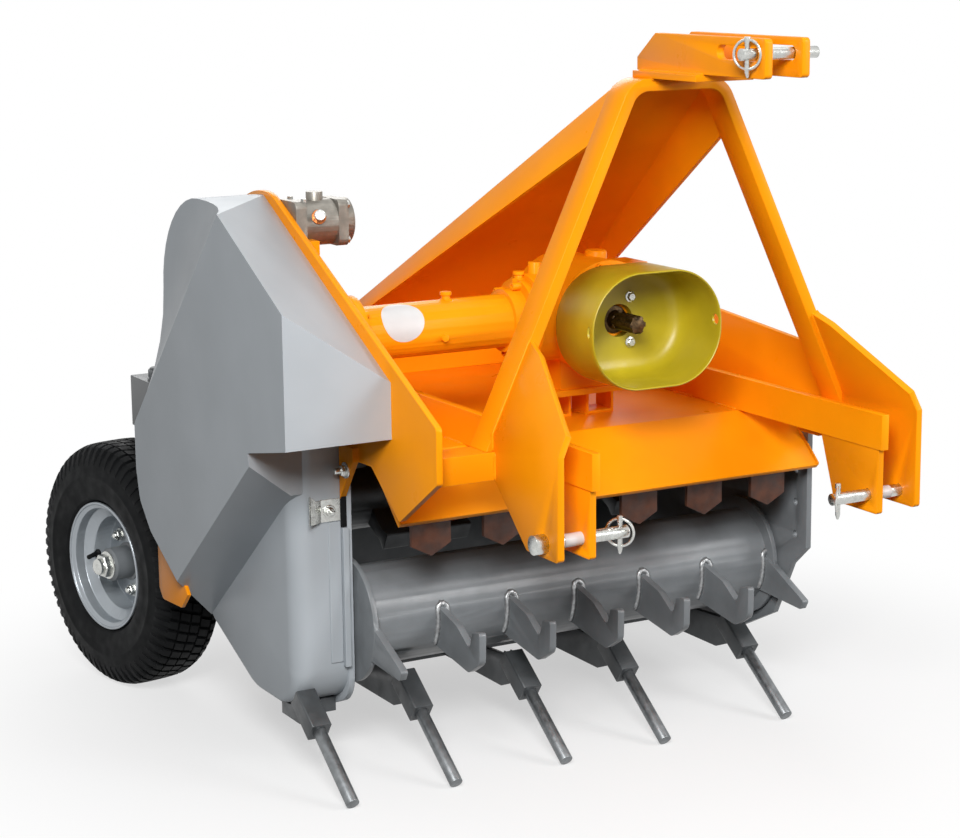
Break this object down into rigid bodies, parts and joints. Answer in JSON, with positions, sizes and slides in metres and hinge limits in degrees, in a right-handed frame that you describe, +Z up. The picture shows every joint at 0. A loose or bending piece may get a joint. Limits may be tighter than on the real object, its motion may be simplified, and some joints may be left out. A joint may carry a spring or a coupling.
{
  "type": "pruning shredder",
  "caption": "Tractor-mounted pruning shredder with a hooked feed roller, hammer rotor, side belt drive, rear wheels, front tines and three-point headstock.",
  "frame": {"origin": "on the floor under the middle of the machine's box", "axes": "+Z up, +Y to the rear, away from the tractor, +X to the right seen from the tractor"},
  "size_m": [1.4502, 1.6322, 1.36],
  "materials": {
    "orange_paint": "gloss enamel over welded plate",
    "grey_paint": "satin silver-grey paint over folded sheet",
    "tank_paint": "semi-gloss dark grey paint",
    "dark_paint": "satin charcoal paint",
    "tine_steel": "drawn bar, dark",
    "zinc_steel": "zinc plated",
    "bare_steel": "oiled machined steel",
    "guard_plastic": "moulded, satin",
    "pump_aluminium": "die cast",
    "tyre_rubber": "moulded rubber",
    "rim_paint": "silver paint over pressed steel"
  },
  "bodies": {
    "frame": {"drive_plate": "orange_paint", "side_plate_right": "orange_paint", "hood_front": "orange_paint", "hood_deck": "orange_paint", "counter_teeth": "orange_paint", "rail_left": "orange_paint", "rail_right": "orange_paint", "link_plate_left": "orange_paint", "link_plate_right": "orange_paint", "cross_beam_left": "orange_paint", "cross_beam_right": "orange_paint", "post": "orange_paint", "top_link_plates": "orange_paint", "brace": "orange_paint", "gearbox_bed": "orange_paint", "gearbox": "orange_paint", "cross_tube": "orange_paint", "splash_plate": "orange_paint", "wheel_arm_left": "orange_paint", "wheel_arm_right": "orange_paint", "belt_cover": "grey_paint", "side_wall_left": "grey_paint", "oil_tank": "tank_paint", "side_wall_right": "dark_paint", "hood_rear": "dark_paint", "tool_beam": "dark_paint", "bearings_right": "dark_paint", "tine_rods": "tine_steel", "lower_pin_left": "zinc_steel", "lower_pin_right": "zinc_steel", "top_pin": "zinc_steel", "linchpin_left": "zinc_steel", "linchpin_right": "zinc_steel", "linchpin_top": "zinc_steel", "axle_left": "zinc_steel", "axle_right": "zinc_steel", "guard": "guard_plastic", "pump": "pump_aluminium"},
    "roller": {"roller": "dark_paint"},
    "rotor": {"rotor": "dark_paint"},
    "input_shaft": {"input_stub": "bare_steel"},
    "wheel_left": {"tyre_left": "tyre_rubber", "rim_left": "rim_paint"},
    "wheel_right": {"tyre_right": "tyre_rubber", "rim_right": "rim_paint"}
  },
  "joints": [
    {"name": "roller_turn", "type": "hinge", "parent": "frame", "child": "roller", "pos_m": [0, -0.14, 0.282], "axis": [1, 0, 0], "continuous": true},
    {"name": "rotor_turn", "type": "hinge", "parent": "frame", "child": "rotor", "pos_m": [0, 0.252, 0.408], "axis": [1, 0, 0], "continuous": true},
    {"name": "input_turn", "type": "hinge", "parent": "frame", "child": "input_shaft", "pos_m": [0.048, -0.3, 0.822], "axis": [0, 1, 0], "continuous": true},
    {"name": "wheel_left_turn", "type": "hinge", "parent": "frame", "child": "wheel_left", "pos_m": [-0.613, 0.559, 0.255], "axis": [0.9816, 0.1908, 0], "continuous": true},
    {"name": "wheel_right_turn", "type": "hinge", "parent": "frame", "child": "wheel_right", "pos_m": [0.613, 0.559, 0.255], "axis": [0.9816, -0.1908, 0], "continuous": true}
  ],
  "couplings": [
    {"joint": "input_turn", "follows": "rotor_turn", "ratio": 0.27}
  ]
}
